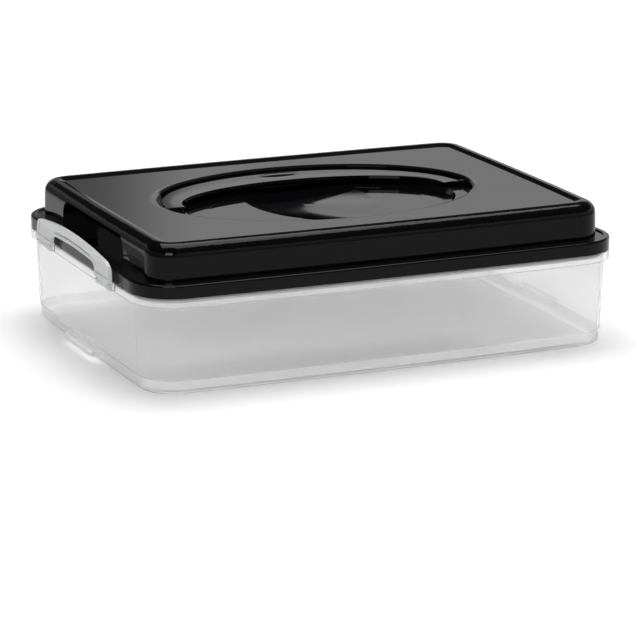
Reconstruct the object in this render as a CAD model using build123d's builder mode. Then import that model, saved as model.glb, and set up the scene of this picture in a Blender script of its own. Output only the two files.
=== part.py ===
from build123d import *

import os
from math import cos, radians, sin

# Cake carrier: a clear tub, a domed lid with a folding carry handle, and a latch on each short end.
# Millimetres. The origin is at the middle of the base, +X is the long way, +Z is up.

# Outline shared by the tub's rim and the lid's skirt
rim_length = 450.0
rim_width = 330.0
rim_corner = 40.0
long_bow = 3.4  # how far the middle of a long side stands out
short_bow = 1.7

# Heights
base_z = 0.0
rim_z = 85.0  # the tub's top, where the lid sits
rim_band = 8.0  # height of the tub's rim band
lip_height = 11.5  # lid skirt, from the tub's rim to the lip's top
dome_height = 31.6  # lip's top to the lid's highest edge

# Tub
tub_wall = 2.0
tub_floor = 2.5
wall_inset_top = 4.3  # the wall stands inside the rim band
wall_inset_low = 6.4
step_height = 12.2  # foot ring below the step
foot_inset = 7.7
foot_edge = 3.5  # rounding of the foot's lower edge
foot_land = 5.0  # width of the ring that the tub stands on
foot_hollow = 1.2  # how far the floor stands above that ring
rim_band_wall = 2.2

# End ledge low on each short end of the tub
ledge_width = 82.0
ledge_reach = 11.5
ledge_bottom = 7.0
ledge_thick = 3.2
ledge_corner = 9.0

# Lid
lid_wall = 2.2
lip_width = 5.5
channel_depth = 1.2  # ledge between the lip and the dome, below the lip
dome_inset_low = 12.9
dome_inset_top = 13.7
dome_corner = 24.0
dome_edge = 11.0  # rounding of the dome's top edge
lip_edge = 1.8
lip_edge_inner = 1.0
border_inset = 12.4  # from the dome's side to the slope round the sunk top panel
border_slope = 5.4  # width of that slope
panel_depth = 2.0
rib_gap = 0.5  # locating rib to the tub's wall
rib_wall = 1.8
rib_depth = 5.0  # how far the rib reaches below the rim

# Handle recess in the lid: a rolled edge, a flat seat, and a bowl with a shallow well and a finger dish
recess_end = 5.3  # from an arm's outer face to the recess's end
recess_width = 210.4
recess_roll = 17.0  # radius of the rolled edge
recess_roll_angles = (0.0, 3.0, 6.0, 9.0, 12.0, 15.0, 18.0, 21.0)
seat_depth = 6.9
seat_land = 14.5  # how far the arms rest on the seat
bowl_width = 186.0
bowl_shift = -8.0
bowl_draft = 3.0  # how far the bowl's wall leans outwards
bowl_depth = 10.8
well_length = 203.0
well_width = 112.0
well_depth = 0.35
dish_length = 120.0
dish_width = 172.0
dish_shift = 15.0
dish_depth = 4.4
recess_floor = 2.2

# End niche in each short side of the dome
niche_width = 157.0
niche_depth = 17.0
niche_top = 7.0  # below the lid's highest edge
niche_corner = 13.0

# Carry handle
handle_gap = 3.2  # from the handle's outer edge to the recess's wall, at the back
handle_seat_gap = 0.4
handle_thick = 4.2
handle_crown = 0.4  # how far the top falls from the middle of the grip to its edges
crown_steps = (0.1, 0.3, 0.5, 0.75, 1.0)
grip_width = 35.5
arm_span = 285.0  # over the arms' outer faces
arm_width = 16.0
arm_end = 2.0  # how far the arms pass the pivot axis
handle_pin = 1.5
handle_pin_length = 4.6
handle_ear_thick = 5.4  # runs into the recess's wall
handle_ear_radius = 2.6
handle_ear_gap = 0.4
pin_clearance = 0.15
thumb_length = 44.0
thumb_width = 17.0
thumb_inset = 15.3  # from the handle's outer edge to the middle of the thumb pad
thumb_rise = 0.9
cap_steps = (1.0, 0.9, 0.75, 0.55, 0.3, 0.1)
handle_edge = 1.0

# Latches
latch_gap = 2.6  # latch plate to the lid's skirt
latch_plate = 2.4
latch_half = 95.5
latch_leg = 38.0
knuckle_inner = 9.5  # from the leg's inner side to its hinge knuckle
knuckle_outer = 5.0  # from the knuckle to the leg's outer side
latch_axis_drop = 3.0  # the hinge axis below the rim
latch_barrel = 2.4
latch_pin = 1.5
latch_rise = 13.9  # arch above the lid's lip
latch_shoulder = 8.2  # fall of the arch at its shoulders
latch_bend = 3.0  # above the lip, where the pull lip starts to lean outwards
latch_lean = 2.5
latch_corner = 12.0
latch_bead = 3.0  # width of the raised edge round the latch
latch_bead_proud = 0.7
slot_rise = 0.7  # slot's top above the lip
slot_fall = 2.2
slot_corner = 9.0
rail_height = 3.3  # rail between the slot and the slit
slit_half = 46.0
slit_height = 2.2
tooth_gap = 0.3
tooth_thick = 2.0
tooth_reach = 6.0
tooth_inner = 40.5
tooth_outer = 51.0
ear_radius = 3.0
ear_thick = 4.0
ear_gap = 0.5
ear_mouth = 2.4

# Worked out from the sizes above
lip_z = rim_z + lip_height
lid_top = lip_z + dome_height
channel_z = lip_z - channel_depth
panel_z = lid_top - panel_depth
seat_z = panel_z - seat_depth
bowl_z = panel_z - bowl_depth
well_z = bowl_z - well_depth
half_length = rim_length / 2
half_width = rim_width / 2
rim_end = half_length + short_bow  # the rim's furthest point along X
rib_inset = wall_inset_top + tub_wall + rib_gap
latch_axis_z = rim_z - latch_axis_drop
latch_inner = rim_end + latch_gap
latch_axis_x = latch_inner + latch_plate / 2
leg_inner = latch_half - latch_leg
knuckle_start = leg_inner + knuckle_inner
knuckle_end = latch_half - knuckle_outer
notch_z = latch_axis_z + ear_radius + ear_gap  # the leg's foot beside the knuckle, above the tub's ears
handle_axis_z = seat_z + handle_seat_gap + handle_thick / 2
handle_bottom = seat_z + handle_seat_gap
arm_half = arm_span / 2
handle_depth = recess_width / 2 - handle_gap
handle_top = handle_bottom + handle_thick
opening_half = arm_half - arm_width
opening_depth = handle_depth - grip_width
recess_length = 2 * (arm_half + recess_end)
bowl_length = 2 * (arm_half - seat_land)
bowl_floor_length = bowl_length - 2 * bowl_draft
bowl_floor_width = bowl_width - 2 * bowl_draft
dish_z = bowl_z - dish_depth


def outline(height, inset, corner):
    """A rounded rectangle with bowed sides, inside the rim's outline by the inset."""
    x, y = half_length - inset, half_width - inset
    with BuildSketch(Plane.XY.offset(height), mode=Mode.PRIVATE) as shape:
        with BuildLine():
            ThreePointArc((-x, -y), (0, -y - long_bow), (x, -y))
            ThreePointArc((x, -y), (x + short_bow, 0), (x, y))
            ThreePointArc((x, y), (0, y + long_bow), (-x, y))
            ThreePointArc((-x, y), (-x - short_bow, 0), (-x, -y))
        make_face()
        fillet(shape.vertices(), corner)
    return shape.sketch


def oval(height, length, width, shift=0.0):
    """An ellipse of the given length along X and width along Y."""
    with BuildSketch(Plane.XY.offset(height), mode=Mode.PRIVATE) as shape:
        with Locations((0, shift)):
            Ellipse(length / 2, width / 2)
    return shape.sketch


def ring(height, outer, inner, corner, amount):
    """A band between two insets of the rim's outline, as tall as the amount."""
    with BuildPart(mode=Mode.PRIVATE) as band:
        extrude(outline(height, outer, corner - outer), amount=amount)
        extrude(outline(height, inner, corner - inner), amount=amount, mode=Mode.SUBTRACT)
    return band.part


def cap(height, rise, length, width, shift):
    """A shallow dome on an oval at the given height, or with a negative rise a hollow below it."""
    with BuildPart(mode=Mode.PRIVATE) as shape:
        sections = []
        for step in cap_steps:
            sections.append(oval(height + rise * (1 - step**2), length * step, width * step, shift))
        loft(sections)
    return shape.part


def crown(half_length, half_width):
    """All inside an oval up to the handle's crowned top, which is highest along the grip's middle."""
    with BuildPart(mode=Mode.PRIVATE) as shape:
        sections = []
        for step in crown_steps:
            x = (arm_half + opening_half) / 2 * (1 - step) + half_length * step
            y = (handle_depth + opening_depth) / 2 * (1 - step) + half_width * step
            sections.append(oval(handle_top - handle_crown * step**2, 2 * x, 2 * y))
        loft(sections)
        extrude(oval(handle_bottom, 2 * half_length, 2 * half_width), amount=handle_thick - handle_crown)
    return shape.part


# Tub: foot ring, drafted wall, rim band, latch ears and end ledges
with BuildPart() as tub:
    extrude(outline(base_z, foot_inset, rim_corner - foot_inset), amount=step_height)
    fillet(tub.faces().sort_by(Axis.Z)[0].edges(), foot_edge)
    loft(
        [
            outline(step_height, wall_inset_low, rim_corner - wall_inset_low),
            outline(rim_z, wall_inset_top, rim_corner - wall_inset_top),
        ],
        ruled=True,
    )
    extrude(outline(rim_z - tub_wall, 0, rim_corner), amount=tub_wall)
    add(ring(rim_z - rim_band, 0, rim_band_wall, rim_corner, rim_band))
    for side in (-1, 1):
        with BuildSketch(Plane.XY.offset(ledge_bottom)):
            with Locations((side * (half_length - foot_inset), 0)):
                RectangleRounded(2 * (ledge_reach + short_bow), ledge_width, ledge_corner)
        extrude(amount=ledge_thick)
        for y in (knuckle_start, knuckle_end):
            for mirror_side in (-1, 1):
                offset_y = -ear_gap - ear_thick / 2 if y == knuckle_start else ear_gap + ear_thick / 2
                ear_y = mirror_side * (y + offset_y)
                with BuildSketch(Plane.XZ.offset(-ear_y - ear_thick / 2)):
                    with Locations((side * latch_axis_x, latch_axis_z)):
                        Circle(ear_radius)
                    with Locations((side * (latch_axis_x + half_length) / 2, latch_axis_z)):
                        Rectangle(latch_axis_x - half_length, 2 * ear_radius)
                extrude(amount=ear_thick)
    wall_floor = foot_hollow + tub_floor
    extrude(
        outline(wall_floor, foot_inset + tub_wall, rim_corner - foot_inset - tub_wall),
        amount=step_height - wall_floor,
        mode=Mode.SUBTRACT,
    )
    loft(
        [
            outline(step_height, wall_inset_low + tub_wall, rim_corner - wall_inset_low - tub_wall),
            outline(rim_z, wall_inset_top + tub_wall, rim_corner - wall_inset_top - tub_wall),
        ],
        ruled=True,
        mode=Mode.SUBTRACT,
    )
    land_inset = foot_inset + foot_edge + foot_land
    extrude(outline(base_z, land_inset, rim_corner - land_inset), amount=foot_hollow, mode=Mode.SUBTRACT)
    for side in (-1, 1):
        with BuildSketch(Plane.XZ):
            with Locations((side * latch_axis_x, latch_axis_z)):
                Circle(latch_pin + pin_clearance)
            with Locations((side * (latch_axis_x + ear_radius), latch_axis_z)):
                Rectangle(2 * ear_radius, ear_mouth)
        extrude(amount=half_width, both=True, mode=Mode.SUBTRACT)
tub.part.label = "tub"

# Lid: skirt and lip, dome, locating rib, handle recess and end niches
with BuildPart() as lid:
    extrude(outline(rim_z, 0, rim_corner), amount=lip_height)
    extrude(outline(channel_z, lip_width, rim_corner - lip_width), amount=channel_depth, mode=Mode.SUBTRACT)
    lip_top = lid.faces().sort_by(Axis.Z)[-1]
    fillet(lip_top.outer_wire().edges(), lip_edge)
    lip_top = lid.faces().sort_by(Axis.Z)[-1]
    fillet(lip_top.inner_wires().edges(), lip_edge_inner)
    with BuildPart(mode=Mode.PRIVATE) as dome:
        loft(
            [outline(rim_z, dome_inset_low, dome_corner), outline(lid_top, dome_inset_top, dome_corner)],
            ruled=True,
        )
        fillet(dome.faces().sort_by(Axis.Z)[-1].edges(), dome_edge)
        border_edge = dome_inset_top + border_inset
        panel_edge = border_edge + border_slope
        loft(
            [
                outline(panel_z, panel_edge, dome_corner - border_inset - border_slope),
                outline(lid_top, border_edge, dome_corner - border_inset),
            ],
            ruled=True,
            mode=Mode.SUBTRACT,
        )
    add(dome.part)
    under_z = channel_z - lid_wall
    rib_inner = rib_inset + rib_wall
    extrude(outline(rim_z, rib_inner, rim_corner - rib_inner), amount=under_z - rim_z, mode=Mode.SUBTRACT)
    add(ring(rim_z, lid_wall, rib_inset, rim_corner, under_z - rim_z), mode=Mode.SUBTRACT)
    add(ring(rim_z - rib_depth, rib_inset, rib_inner, rim_corner, under_z - rim_z + rib_depth))
    with BuildPart(mode=Mode.PRIVATE) as cavity:
        loft(
            [
                outline(under_z, dome_inset_low + lid_wall, dome_corner - lid_wall),
                outline(panel_z - lid_wall, dome_inset_top + lid_wall, dome_corner - lid_wall),
            ],
            ruled=True,
        )
        fillet(cavity.faces().sort_by(Axis.Z)[-1].edges(), dome_edge - lid_wall)
    add(cavity.part, mode=Mode.SUBTRACT)
    # Underside of the handle recess, in three steps
    sink = lid_wall / 2  # how far the shapes of the underside run into each other
    tray_z = seat_z - recess_floor
    pan_z = well_z - recess_floor
    boss_z = dish_z - recess_floor
    pan_length, pan_width = bowl_length + 2 * lid_wall, bowl_width + 2 * lid_wall
    tray = oval(tray_z, recess_length + 2 * lid_wall, recess_width + 2 * lid_wall)
    extrude(tray, amount=panel_z - sink - tray_z)
    extrude(oval(pan_z, pan_length, pan_width, bowl_shift), amount=tray_z + sink - pan_z)
    with BuildPart(mode=Mode.PRIVATE) as boss:
        extrude(oval(boss_z, dish_length, dish_width, dish_shift), amount=pan_z + sink - boss_z)
        pan = oval(boss_z, pan_length, pan_width, bowl_shift)
        extrude(pan, amount=pan_z + sink - boss_z, mode=Mode.INTERSECT)
    add(boss.part)
    # Inner walls of the end niches, kept inside the dome
    niche_outer = rim_end - dome_inset_low
    niche_inner = niche_outer - niche_depth
    niche_ceiling = lid_top - niche_top
    with BuildPart(mode=Mode.PRIVATE) as backing:
        for side in (-1, 1):
            with BuildSketch(Plane.XY.offset(under_z)):
                with Locations((side * (niche_inner - lid_wall + niche_outer - lid_wall) / 2, 0)):
                    Rectangle(niche_depth, niche_width + 2 * lid_wall)
            extrude(amount=niche_ceiling + lid_wall - under_z)
        add(dome.part, mode=Mode.INTERSECT)
    add(backing.part)
    # Handle recess: rolled edge, seat, bowl, well and finger dish
    last_angle = radians(recess_roll_angles[-1])
    roll_sections = []
    for angle in recess_roll_angles:
        spread = 2 * recess_roll * (sin(last_angle) - sin(radians(angle)))
        depth = recess_roll * (1 - cos(radians(angle)))
        roll_sections.append(oval(panel_z - depth, recess_length + spread, recess_width + spread))
    loft(roll_sections, ruled=True, mode=Mode.SUBTRACT)
    wall_height = seat_depth - recess_roll * (1 - cos(last_angle))
    extrude(oval(seat_z, recess_length, recess_width), amount=wall_height, mode=Mode.SUBTRACT)
    loft(
        [
            oval(seat_z, bowl_length, bowl_width, bowl_shift),
            oval(bowl_z, bowl_floor_length, bowl_floor_width, bowl_shift),
        ],
        ruled=True,
        mode=Mode.SUBTRACT,
    )
    extrude(oval(well_z, well_length, well_width), amount=well_depth, mode=Mode.SUBTRACT)
    with BuildPart(mode=Mode.PRIVATE) as dish:
        add(cap(bowl_z, -dish_depth, dish_length, dish_width, dish_shift))
        bowl_floor = oval(dish_z, bowl_floor_length, bowl_floor_width, bowl_shift)
        extrude(bowl_floor, amount=dish_depth, mode=Mode.INTERSECT)
    add(dish.part, mode=Mode.SUBTRACT)
    # Ears for the handle pins
    ear_inner = arm_half + handle_ear_gap
    for side in (-1, 1):
        with BuildSketch(Plane.YZ.offset(min(side * ear_inner, side * (ear_inner + handle_ear_thick)))):
            with Locations((0, handle_axis_z)):
                Circle(handle_ear_radius)
            with Locations((0, (handle_axis_z + seat_z - lid_wall / 2) / 2)):
                Rectangle(2 * handle_ear_radius, handle_axis_z - seat_z + lid_wall / 2)
            with Locations((0, handle_axis_z)):
                Circle(handle_pin + pin_clearance, mode=Mode.SUBTRACT)
        extrude(amount=handle_ear_thick)
    # End niches, concave at the top and rounded at their upper corners
    for side in (-1, 1):
        with BuildPart(mode=Mode.PRIVATE) as niche:
            with BuildSketch(Plane.XZ):
                with BuildLine():
                    sweep_top = (side * niche_outer, niche_ceiling)
                    sweep_foot = (side * niche_inner, niche_ceiling - niche_depth)
                    TangentArc(sweep_foot, sweep_top, tangent=(0, 1))
                    Polyline(
                        sweep_top,
                        (side * (niche_outer + niche_depth), niche_ceiling),
                        (side * (niche_outer + niche_depth), channel_z),
                        (side * niche_inner, channel_z),
                        sweep_foot,
                    )
                make_face()
            extrude(amount=niche_width / 2, both=True)
            with BuildSketch(Plane.YZ):
                with Locations((0, niche_ceiling - niche_width / 2)):
                    RectangleRounded(niche_width, niche_width, niche_corner)
            extrude(amount=rim_length, both=True, mode=Mode.INTERSECT)
        add(niche.part, mode=Mode.SUBTRACT)
lid.part.label = "lid"

# Carry handle: a flat D with a crowned top, a pin on each arm and a thumb pad at the back
with BuildPart() as handle:
    add(crown(arm_half, handle_depth))
    add(crown(opening_half, opening_depth), mode=Mode.SUBTRACT)
    with BuildSketch(Plane.XY.offset(handle_bottom)):
        with Locations((0, (handle_depth - arm_end) / 2)):
            Rectangle(arm_span, handle_depth + arm_end)
    extrude(amount=handle_thick, mode=Mode.INTERSECT)
    fillet(handle.faces().sort_by(Axis.Z)[0].edges(), handle_edge)
    for side in (-1, 1):
        with BuildSketch(Plane.YZ.offset(side * (arm_half - arm_width / 2))):
            with Locations((0, handle_axis_z)):
                Circle(handle_pin)
        extrude(amount=side * (arm_width / 2 + handle_pin_length))
    pad_base = handle_top - handle_crown / 2
    pad_rise = handle_top + thumb_rise - pad_base
    add(cap(pad_base, pad_rise, thumb_length, thumb_width, handle_depth - thumb_inset))
handle.part.label = "handle"

# Latch: two legs and an arch with a raised edge, a slit, a pull lip that leans out, and two hook teeth
arch_top = lip_z + latch_rise
shoulder_z = arch_top - latch_shoulder
bend_z = lip_z + latch_bend
plate_outer = latch_inner + latch_plate


def bow(inset):
    """The latch seen from the end, inside its outline by the inset."""
    with BuildSketch(Plane.YZ.offset(half_length), mode=Mode.PRIVATE) as shape:
        with BuildLine():
            ThreePointArc((-latch_half, shoulder_z), (0, arch_top), (latch_half, shoulder_z))
            Polyline(
                (latch_half, shoulder_z),
                (latch_half, notch_z),
                (-latch_half, notch_z),
                (-latch_half, shoulder_z),
            )
        make_face()
        fillet(shape.vertices().group_by(Axis.Y)[-1], latch_corner)
        if inset:
            offset(amount=-inset, mode=Mode.REPLACE)
    return shape.sketch


def plate(inner, thick):
    """A plate along the latch, upright up to the bend and leaning outwards above it."""
    with BuildSketch(Plane.XZ, mode=Mode.PRIVATE) as shape:
        with BuildLine():
            Polyline(
                (inner, latch_axis_z),
                (inner, bend_z),
                (inner + latch_lean, arch_top),
                (inner + latch_lean + thick, arch_top),
                (inner + thick, bend_z),
                (inner + thick, latch_axis_z),
                close=True,
            )
        make_face()
    return shape.sketch


with BuildPart() as latch_right:
    extrude(plate(latch_inner, latch_plate + latch_bead_proud), amount=latch_half, both=True)
    extrude(bow(0), amount=half_length, mode=Mode.INTERSECT)
    with BuildPart(mode=Mode.PRIVATE) as relief:
        extrude(plate(plate_outer, latch_plate), amount=latch_half, both=True)
        extrude(bow(latch_bead), amount=half_length, mode=Mode.INTERSECT)
    add(relief.part, mode=Mode.SUBTRACT)
    slot_top = lip_z + slot_rise
    with BuildSketch(Plane.YZ.offset(half_length)) as slot:
        with BuildLine():
            ThreePointArc(
                (-leg_inner, slot_top - slot_fall),
                (0, slot_top),
                (leg_inner, slot_top - slot_fall),
            )
            Polyline(
                (leg_inner, slot_top - slot_fall),
                (leg_inner, base_z),
                (-leg_inner, base_z),
                (-leg_inner, slot_top - slot_fall),
            )
        make_face()
        fillet(slot.vertices().group_by(Axis.Y)[-1], slot_corner)
    extrude(amount=half_length, mode=Mode.SUBTRACT)
    slit_z = slot_top + rail_height
    with BuildSketch(Plane.YZ.offset(half_length)) as slit:
        with BuildLine():
            ThreePointArc((-slit_half, slit_z - slot_fall), (0, slit_z), (slit_half, slit_z - slot_fall))
            Line((slit_half, slit_z - slot_fall), (slit_half, slit_z - slot_fall + slit_height))
            ThreePointArc(
                (slit_half, slit_z - slot_fall + slit_height),
                (0, slit_z + slit_height),
                (-slit_half, slit_z - slot_fall + slit_height),
            )
            Line((-slit_half, slit_z - slot_fall + slit_height), (-slit_half, slit_z - slot_fall))
        make_face()
    extrude(amount=half_length, mode=Mode.SUBTRACT)
    tooth_root = latch_plate / 2  # how far the teeth run into the plate
    tooth_x = latch_inner + (tooth_root - tooth_reach) / 2
    tooth_y = (tooth_inner + tooth_outer) / 2
    with BuildSketch(Plane.XY.offset(lip_z + tooth_gap)):
        with Locations((tooth_x, -tooth_y), (tooth_x, tooth_y)):
            Rectangle(tooth_reach + tooth_root, tooth_outer - tooth_inner)
    extrude(amount=tooth_thick)
    # Feet beside the tub's ears, each with a barrel and a pin at both its ends
    knuckle = knuckle_end - knuckle_start
    for side in (-1, 1):
        with BuildSketch(Plane.XY.offset(latch_axis_z)):
            with Locations((latch_axis_x + latch_bead_proud / 2, side * (knuckle_start + knuckle / 2))):
                Rectangle(latch_plate + latch_bead_proud, knuckle)
        extrude(amount=notch_z - latch_axis_z)
    for start, length, radius in (
        (knuckle_start, knuckle, latch_barrel),
        (knuckle_start - ear_gap - ear_thick, knuckle + 2 * (ear_gap + ear_thick), latch_pin),
    ):
        for y in (-start, start + length):
            with BuildSketch(Plane.XZ.offset(-y)):
                with Locations((latch_axis_x, latch_axis_z)):
                    Circle(radius)
            extrude(amount=length)
latch_right.part.label = "latch_right"

with BuildPart() as latch_left:
    mirror(latch_right.part, about=Plane.YZ)
latch_left.part.label = "latch_left"

os.makedirs("parts", exist_ok=True)
export_step(tub.part, "parts/tub.step")
export_step(lid.part, "parts/lid.step")
export_step(handle.part, "parts/handle.step")
export_step(latch_left.part, "parts/latch_left.step")
export_step(latch_right.part, "parts/latch_right.step")
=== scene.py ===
"""Looks of the cake carrier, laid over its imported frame.

The carrier is a clear polypropylene tub, a polished black lid with a folding carry handle, and a milky latch
on each short end. Every size is in metres, in the frame's own axes: +X along the carrier, +Z up.
"""

from __future__ import annotations

import logging
import math
from dataclasses import dataclass
from enum import Enum

import bpy
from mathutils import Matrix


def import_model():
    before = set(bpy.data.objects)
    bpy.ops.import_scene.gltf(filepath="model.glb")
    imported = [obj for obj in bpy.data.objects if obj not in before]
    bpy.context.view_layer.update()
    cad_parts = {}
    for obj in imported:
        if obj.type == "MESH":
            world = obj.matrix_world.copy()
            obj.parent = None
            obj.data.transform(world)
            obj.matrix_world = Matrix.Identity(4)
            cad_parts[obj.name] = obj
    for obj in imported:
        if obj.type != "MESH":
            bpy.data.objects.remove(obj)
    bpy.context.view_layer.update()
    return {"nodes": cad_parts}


LOG = logging.getLogger("carrier")


class End(Enum):
    """The two short ends of the carrier."""

    LEFT = "latch_left"
    RIGHT = "latch_right"


class Sum(Enum):
    """The sums that the finishes and the studio need."""

    TIMES = "MULTIPLY"
    TIMES_PLUS = "MULTIPLY_ADD"
    LARGER = "MAXIMUM"
    BELOW = "LESS_THAN"
    WITHOUT_SIGN = "ABSOLUTE"
    ANGLE = "ARCTAN2"


class Blend(Enum):
    """How a value passes from one end of a span to the other."""

    STRAIGHT = "LINEAR"
    SOFT = "SMOOTHSTEP"


@dataclass(frozen=True)
class Span:
    """A range of values."""

    low: float
    high: float


UNIT = Span(0.0, 1.0)


def linear(colour: str) -> tuple[float, float, float, float]:
    """Turns an sRGB hex colour into linear light.

    Args:
        colour: A hex colour such as "#0b0b0c".

    Returns:
        Red, green, blue and an alpha of 1.
    """
    parts = [int(colour[i : i + 2], 16) / 255 for i in (1, 3, 5)]
    light = [p / 12.92 if p <= 0.04045 else ((p + 0.055) / 1.055) ** 2.4 for p in parts]
    return light[0], light[1], light[2], 1.0


def add_node(
    tree: bpy.types.NodeTree, kind: str, settings: dict | None = None, links: dict | None = None
) -> bpy.types.Node:
    """Adds one shader node with its settings and what feeds it.

    Args:
        tree: The node tree that gets the node.
        kind: Blender's type name of the node.
        settings: Values by name, first of the node's own properties, otherwise of its input sockets.
        links: Output sockets by the name or number of the input that they feed.

    Returns:
        The new node.
    """
    node = tree.nodes.new(kind)
    for name, value in (settings or {}).items():
        if isinstance(name, str) and hasattr(node, name) and name not in node.inputs:
            setattr(node, name, value)
        else:
            node.inputs[name].default_value = value
    for name, socket in (links or {}).items():
        tree.links.new(socket, node.inputs[name])
    return node


def calculate(
    tree: bpy.types.NodeTree, kind: Sum, *values: float | bpy.types.NodeSocket
) -> bpy.types.NodeSocket:
    """Adds a node that works out one sum.

    Args:
        tree: The node tree that gets the node.
        kind: The sum.
        values: What goes into it, in order, each a number or an output socket.

    Returns:
        The socket with the result.
    """
    numbers = {place: value for place, value in enumerate(values) if isinstance(value, float)}
    sockets = {place: value for place, value in enumerate(values) if not isinstance(value, float)}
    node = add_node(tree, "ShaderNodeMath", {"operation": kind.value, **numbers}, sockets)
    return node.outputs[0]


def remap(
    tree: bpy.types.NodeTree,
    value: bpy.types.NodeSocket,
    given: Span,
    wanted: Span,
    blend: Blend = Blend.STRAIGHT,
) -> bpy.types.NodeSocket:
    """Adds a node that carries a value from one span over to another.

    Args:
        tree: The node tree that gets the node.
        value: The value.
        given: The span that it comes from.
        wanted: The span that it goes to.
        blend: How it passes from end to end.

    Returns:
        The socket with the result.
    """
    node = add_node(
        tree,
        "ShaderNodeMapRange",
        {
            "From Min": given.low,
            "From Max": given.high,
            "To Min": wanted.low,
            "To Max": wanted.high,
            "interpolation_type": blend.value,
        },
        {"Value": value},
    )
    return node.outputs["Result"]


@dataclass(frozen=True)
class Clouds:
    """A cloudy pattern of a moulding's surface.

    The patches are about as wide as the size says. A higher detail adds finer patches inside them.
    """

    size: float
    detail: float
    roughness: float = 0.5

    def build(self, tree: bpy.types.NodeTree, place: bpy.types.Node) -> bpy.types.NodeSocket:
        """Adds the pattern.

        Args:
            tree: The node tree that gets the node.
            place: The texture coordinates.

        Returns:
            A socket with values from 0 to 1.
        """
        node = add_node(
            tree,
            "ShaderNodeTexNoise",
            {"Scale": 1 / self.size, "Detail": self.detail, "Roughness": self.roughness},
            {"Vector": place.outputs["Object"]},
        )
        return node.outputs["Fac"]


def seen_directly(tree: bpy.types.NodeTree) -> bpy.types.NodeSocket:
    """Tells what is seen straight, or through the clear tub, from what only lights or mirrors.

    Args:
        tree: The node tree that gets the nodes.

    Returns:
        A socket that is 1 for camera and transmission rays, and 0 for all others.
    """
    path = add_node(tree, "ShaderNodeLightPath")
    return calculate(tree, Sum.LARGER, path.outputs["Is Camera Ray"], path.outputs["Is Transmission Ray"])


def new_material(name: str) -> bpy.types.Material:
    """Makes an empty node material.

    Args:
        name: The material's name.

    Returns:
        The new material.
    """
    material = bpy.data.materials.new(name)
    material.use_nodes = True
    material.node_tree.nodes.clear()
    return material


@dataclass(frozen=True)
class PolishedBlackPolypropylene:
    """Black polypropylene from a mirror-polished mould: deep black, crisp reflections, faint haze."""

    name: str = "polished_black_polypropylene"
    colour: str = "#08080a"
    ior: float = 1.25  # less than polypropylene's 1.49, because the black sides stay nearly black
    gloss: Span = Span(0.035, 0.075)
    haze: Clouds = Clouds(0.035, 4.0, 0.6)  # patches of handling haze, about 35 mm across
    haze_span: Span = Span(0.35, 0.7)
    ripple: Clouds = Clouds(0.06, 1.0)  # shrink waves of a large flat moulding, about 60 mm long
    ripple_depth: float = 0.00001

    def build(self) -> bpy.types.Material:
        """Builds the material.

        Returns:
            The material of the lid and the handle.
        """
        material = new_material(self.name)
        tree = material.node_tree
        place = add_node(tree, "ShaderNodeTexCoord")
        bump = add_node(
            tree,
            "ShaderNodeBump",
            {"Strength": 1.0, "Distance": self.ripple_depth},
            {"Height": self.ripple.build(tree, place)},
        )
        rough = remap(tree, self.haze.build(tree, place), self.haze_span, self.gloss)
        surface = add_node(
            tree,
            "ShaderNodeBsdfPrincipled",
            {"Base Color": linear(self.colour), "IOR": self.ior},
            {"Roughness": rough, "Normal": bump.outputs["Normal"]},
        )
        add_node(tree, "ShaderNodeOutputMaterial", links={"Surface": surface.outputs["BSDF"]})
        return material


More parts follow.
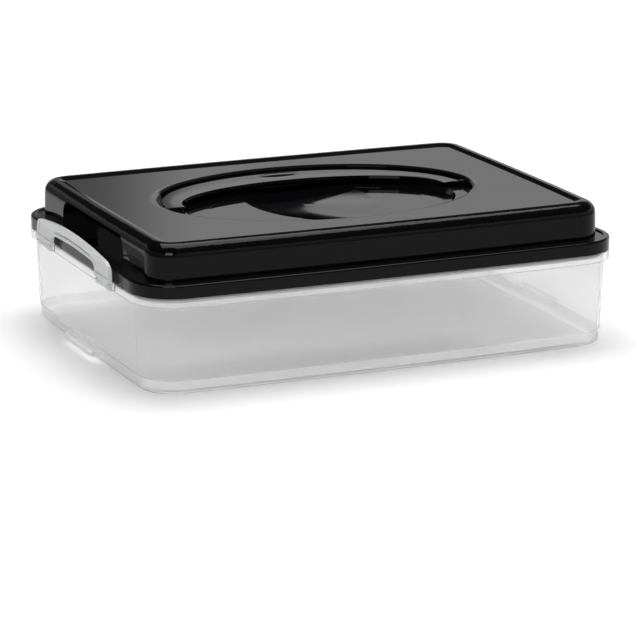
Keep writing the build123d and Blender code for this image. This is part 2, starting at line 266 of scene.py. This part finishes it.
@dataclass(frozen=True)
class ClearPolypropylene:
    """Clarified polypropylene, injection moulded: see-through, faintly milky, with a frosted foot."""

    name: str = "clear_polypropylene"
    colour: str = "#fbfbfb"
    ior: float = 1.22  # less than 1.49, because the thin walls hardly bend what is seen through them
    gloss: Span = Span(0.06, 0.12)
    haze: float = 0.14
    shadow: str = "#f8f8f8"  # light that passes one wall
    flow: Clouds = Clouds(0.05, 2.0)  # flow marks of the melt, about 50 mm apart
    flow_span: Span = Span(0.3, 0.7)
    foot_height: float = 0.0122  # up to here the outside is finely textured, so it looks frosted
    foot_haze: float = 0.34
    foot_roughness: float = 0.3
    steep: float = 0.5  # largest upward part of an upright wall's normal

    def build(self) -> bpy.types.Material:
        """Builds the material.

        Returns:
            The material of the tub.
        """
        material = new_material(self.name)
        tree = material.node_tree
        place = add_node(tree, "ShaderNodeTexCoord")
        rough = remap(tree, self.flow.build(tree, place), self.flow_span, self.gloss)
        foot = self._foot(tree, place)
        clearness = remap(tree, foot, UNIT, Span(1.0 - self.haze, 1.0 - self.foot_haze))
        clear = add_node(
            tree,
            "ShaderNodeBsdfPrincipled",
            {"Base Color": linear(self.colour), "IOR": self.ior},
            {
                "Roughness": calculate(tree, Sum.TIMES_PLUS, foot, self.foot_roughness, rough),
                "Transmission Weight": clearness,
            },
        )
        # Shadow rays pass through, so that the carrier's inside and its shadow stay light
        light_path = add_node(tree, "ShaderNodeLightPath")
        through = add_node(tree, "ShaderNodeBsdfTransparent", {"Color": linear(self.shadow)})
        mixed = add_node(
            tree,
            "ShaderNodeMixShader",
            links={
                0: light_path.outputs["Is Shadow Ray"],
                1: clear.outputs["BSDF"],
                2: through.outputs["BSDF"],
            },
        )
        add_node(tree, "ShaderNodeOutputMaterial", links={"Surface": mixed.outputs["Shader"]})
        return material

    def _foot(self, tree: bpy.types.NodeTree, place: bpy.types.Node) -> bpy.types.NodeSocket:
        """Marks the upright walls of the foot.

        Args:
            tree: The node tree that gets the nodes.
            place: The texture coordinates.

        Returns:
            A socket that is 1 on those walls and 0 elsewhere.
        """
        spot = add_node(tree, "ShaderNodeSeparateXYZ", links={"Vector": place.outputs["Object"]})
        turned = add_node(tree, "ShaderNodeSeparateXYZ", links={"Vector": place.outputs["Normal"]})
        low = calculate(tree, Sum.BELOW, spot.outputs["Z"], self.foot_height)
        upward = calculate(tree, Sum.WITHOUT_SIGN, turned.outputs["Z"])
        upright = calculate(tree, Sum.BELOW, upward, self.steep)
        return calculate(tree, Sum.TIMES, low, upright)


@dataclass(frozen=True)
class MilkyPolypropylene:
    """Natural polypropylene in a thick section: milky white, softly glossy, and slightly see-through."""

    name: str = "milky_polypropylene"
    colour: str = "#eceded"
    ior: float = 1.49
    gloss: Span = Span(0.17, 0.23)
    clearness: float = 0.3
    grain: Clouds = Clouds(0.012, 3.0)  # faint clouds of the crystals, drawn 12 mm wide so that they show

    def build(self) -> bpy.types.Material:
        """Builds the material.

        Returns:
            The material of the latches.
        """
        material = new_material(self.name)
        tree = material.node_tree
        place = add_node(tree, "ShaderNodeTexCoord")
        surface = add_node(
            tree,
            "ShaderNodeBsdfPrincipled",
            {"Base Color": linear(self.colour), "IOR": self.ior, "Transmission Weight": self.clearness},
            {"Roughness": remap(tree, self.grain.build(tree, place), UNIT, self.gloss)},
        )
        add_node(tree, "ShaderNodeOutputMaterial", links={"Surface": surface.outputs["BSDF"]})
        return material


@dataclass(frozen=True)
class StudioPaper:
    """Seamless white studio paper: matt, white to the camera, and it keeps the carrier's shadow."""

    name: str = "studio_paper"
    colour: str = "#f4f4f4"
    glow: Span = Span(0.15, 1.0)  # little near the carrier, so that its shadow shows, and more further off
    glow_reach: Span = Span(0.5, 2.2)  # distances from the carrier's middle

    def build(self) -> bpy.types.Material:
        """Builds the material.

        Returns:
            The material of the floor.
        """
        material = new_material(self.name)
        tree = material.node_tree
        place = add_node(tree, "ShaderNodeTexCoord")
        reach = add_node(
            tree, "ShaderNodeVectorMath", {"operation": "LENGTH"}, {0: place.outputs["Object"]}
        )
        strength = remap(tree, reach.outputs["Value"], self.glow_reach, self.glow, Blend.SOFT)
        paper = add_node(tree, "ShaderNodeBsdfDiffuse", {"Color": linear(self.colour)})
        white = add_node(tree, "ShaderNodeEmission", links={"Strength": strength})
        both = add_node(
            tree, "ShaderNodeAddShader", links={0: paper.outputs["BSDF"], 1: white.outputs["Emission"]}
        )
        mixed = add_node(
            tree,
            "ShaderNodeMixShader",
            links={0: seen_directly(tree), 1: paper.outputs["BSDF"], 2: both.outputs["Shader"]},
        )
        add_node(tree, "ShaderNodeOutputMaterial", links={"Surface": mixed.outputs["Shader"]})
        return material


@dataclass(frozen=True)
class StudioSky:
    """A pale band above the horizon, brightest from 15 to 18 degrees up, and a dark studio above it.

    The flat tops mirror the band. A dark flag dims its left part. To the camera the sky is white.
    """

    name: str = "studio"
    horizon: float = 0.46  # brightness at the horizon
    bands: tuple[tuple[float, float], ...] = (
        (8.0, 0.56),
        (12.0, 0.68),
        (13.3, 0.80),
        (15.5, 1.0),
        (18.3, 1.0),
        (20.0, 0.09),
        (40.0, 0.07),
        (90.0, 0.12),
    )  # degrees above the horizon, and the brightness there
    flag_edge: Span = Span(18.9, 21.3)  # degrees to the right of +Y, where the flag's shade ends
    flag_shade: Span = Span(0.36, 1.0)

    def build(self) -> None:
        """Builds the world."""
        world = bpy.data.worlds.new(self.name)
        bpy.context.scene.world = world
        world.use_nodes = True
        tree = world.node_tree
        tree.nodes.clear()
        way = add_node(tree, "ShaderNodeTexCoord")
        parts = add_node(tree, "ShaderNodeSeparateXYZ", links={"Vector": way.outputs["Generated"]})
        height = add_node(tree, "ShaderNodeValToRGB", links={"Fac": parts.outputs["Z"]})
        self._set_bands(height.color_ramp)
        across = calculate(tree, Sum.ANGLE, parts.outputs["X"], parts.outputs["Y"])
        edge = Span(math.radians(self.flag_edge.low), math.radians(self.flag_edge.high))
        flag = remap(tree, across, edge, self.flag_shade, Blend.SOFT)
        light = calculate(tree, Sum.TIMES, height.outputs["Color"], flag)
        shown = calculate(tree, Sum.LARGER, light, seen_directly(tree))
        back = add_node(tree, "ShaderNodeBackground", links={"Color": shown})
        add_node(tree, "ShaderNodeOutputWorld", links={"Surface": back.outputs["Background"]})

    def _set_bands(self, ramp: bpy.types.ColorRamp) -> None:
        """Sets a ramp to the sky's brightness by height.

        Args:
            ramp: The ramp, which is fed with the sine of the height above the horizon.
        """
        while len(ramp.elements) > 1:
            ramp.elements.remove(ramp.elements[-1])
        ramp.elements[0].position = 0.0
        ramp.elements[0].color = (self.horizon, self.horizon, self.horizon, 1)
        for degrees, grey in self.bands:
            ramp.elements.new(math.sin(math.radians(degrees))).color = (grey, grey, grey, 1)


@dataclass(frozen=True)
class Lamp:
    """A soft rectangular lamp that points at the carrier."""

    name: str
    at: tuple[float, float, float]
    size: tuple[float, float]
    watts: float

    def build(self) -> None:
        """Hangs the lamp."""
        data = bpy.data.lights.new(self.name, "AREA")
        data.shape = "RECTANGLE"
        data.size, data.size_y = self.size
        data.energy = self.watts
        lamp = bpy.data.objects.new(self.name, data)
        lamp.location = self.at
        aim = lamp.location.copy()
        aim.negate()
        lamp.rotation_euler = aim.to_track_quat("-Z", "Y").to_euler()
        bpy.context.scene.collection.objects.link(lamp)


@dataclass(frozen=True)
class Camera:
    """The camera where the photograph was taken from."""

    name: str = "camera"
    at: tuple[float, float, float] = (-1.0749, -2.4818, 0.7280)
    azimuth: float = 23.493  # degrees to the right of +Y
    look_down: float = 14.943
    roll: float = -0.012
    lens: float = 173.27
    sensor: float = 36.0
    farthest: float = 200.0

    def build(self) -> None:
        """Sets the camera up."""
        data = bpy.data.cameras.new(self.name)
        data.lens = self.lens
        data.sensor_width = self.sensor
        data.clip_end = self.farthest
        camera = bpy.data.objects.new(self.name, data)
        camera.location = self.at
        camera.rotation_euler = (
            math.radians(90 - self.look_down),
            math.radians(self.roll),
            math.radians(-self.azimuth),
        )
        bpy.context.scene.collection.objects.link(camera)
        bpy.context.scene.camera = camera


@dataclass(frozen=True)
class Studio:
    """Pale floor, plain sky, soft lamps and the camera."""

    floor_size: float = 60.0
    paper: StudioPaper = StudioPaper()
    sky: StudioSky = StudioSky()
    lamps: tuple[Lamp, ...] = (
        Lamp("overhead", (0.2, 0.3, 2.4), (2.2, 2.2), 62.0),
        Lamp("fill", (-1.7, -2.8, 1.3), (1.6, 1.2), 34.0),
    )
    camera: Camera = Camera()

    def build(self) -> None:
        """Builds the whole studio."""
        self._floor()
        self.sky.build()
        for lamp in self.lamps:
            lamp.build()
        self.camera.build()

    def _floor(self) -> None:
        """Lays a flat sheet under the carrier."""
        half = self.floor_size / 2
        corner_points = [(-half, -half, 0), (half, -half, 0), (half, half, 0), (-half, half, 0)]
        mesh = bpy.data.meshes.new("floor")
        mesh.from_pydata(corner_points, [], [(0, 1, 2, 3)])
        floor = bpy.data.objects.new("floor", mesh)
        bpy.context.scene.collection.objects.link(floor)
        mesh.materials.append(self.paper.build())


def dress(node: bpy.types.Object, material: bpy.types.Material) -> None:
    """Gives a CAD node its material.

    Args:
        node: The node's object.
        material: The material for all its slots.
    """
    if not node.material_slots:
        node.data.materials.append(material)
    for slot in node.material_slots:
        slot.material = material
    LOG.info("%s wears %s", node.name, material.name)


@dataclass(frozen=True)
class Tub:
    """The clear tub."""

    finish: ClearPolypropylene = ClearPolypropylene()

    def build(self, nodes: dict[str, bpy.types.Object]) -> None:
        """Dresses the tub.

        Args:
            nodes: The frame's nodes by name.
        """
        dress(nodes["tub"], self.finish.build())


@dataclass(frozen=True)
class Lid:
    """The black lid and its carry handle."""

    finish: PolishedBlackPolypropylene = PolishedBlackPolypropylene()

    def build(self, nodes: dict[str, bpy.types.Object]) -> None:
        """Dresses the lid and the handle.

        Args:
            nodes: The frame's nodes by name.
        """
        material = self.finish.build()
        dress(nodes["lid"], material)
        dress(nodes["handle"], material)


@dataclass(frozen=True)
class Latches:
    """The milky latches of both ends."""

    finish: MilkyPolypropylene = MilkyPolypropylene()

    def build(self, nodes: dict[str, bpy.types.Object]) -> None:
        """Dresses both latches.

        Args:
            nodes: The frame's nodes by name.
        """
        material = self.finish.build()
        for end in End:
            dress(nodes[end.value], material)


def main() -> None:
    """Loads the frame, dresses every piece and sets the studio."""
    logging.basicConfig(level=logging.INFO, format="%(name)s: %(message)s")
    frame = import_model()
    nodes = frame["nodes"]
    for piece in (Tub(), Lid(), Latches()):
        piece.build(nodes)
    Studio().build()
    bpy.context.scene.view_settings.view_transform = "Standard"


if __name__ == "__main__":
    main()
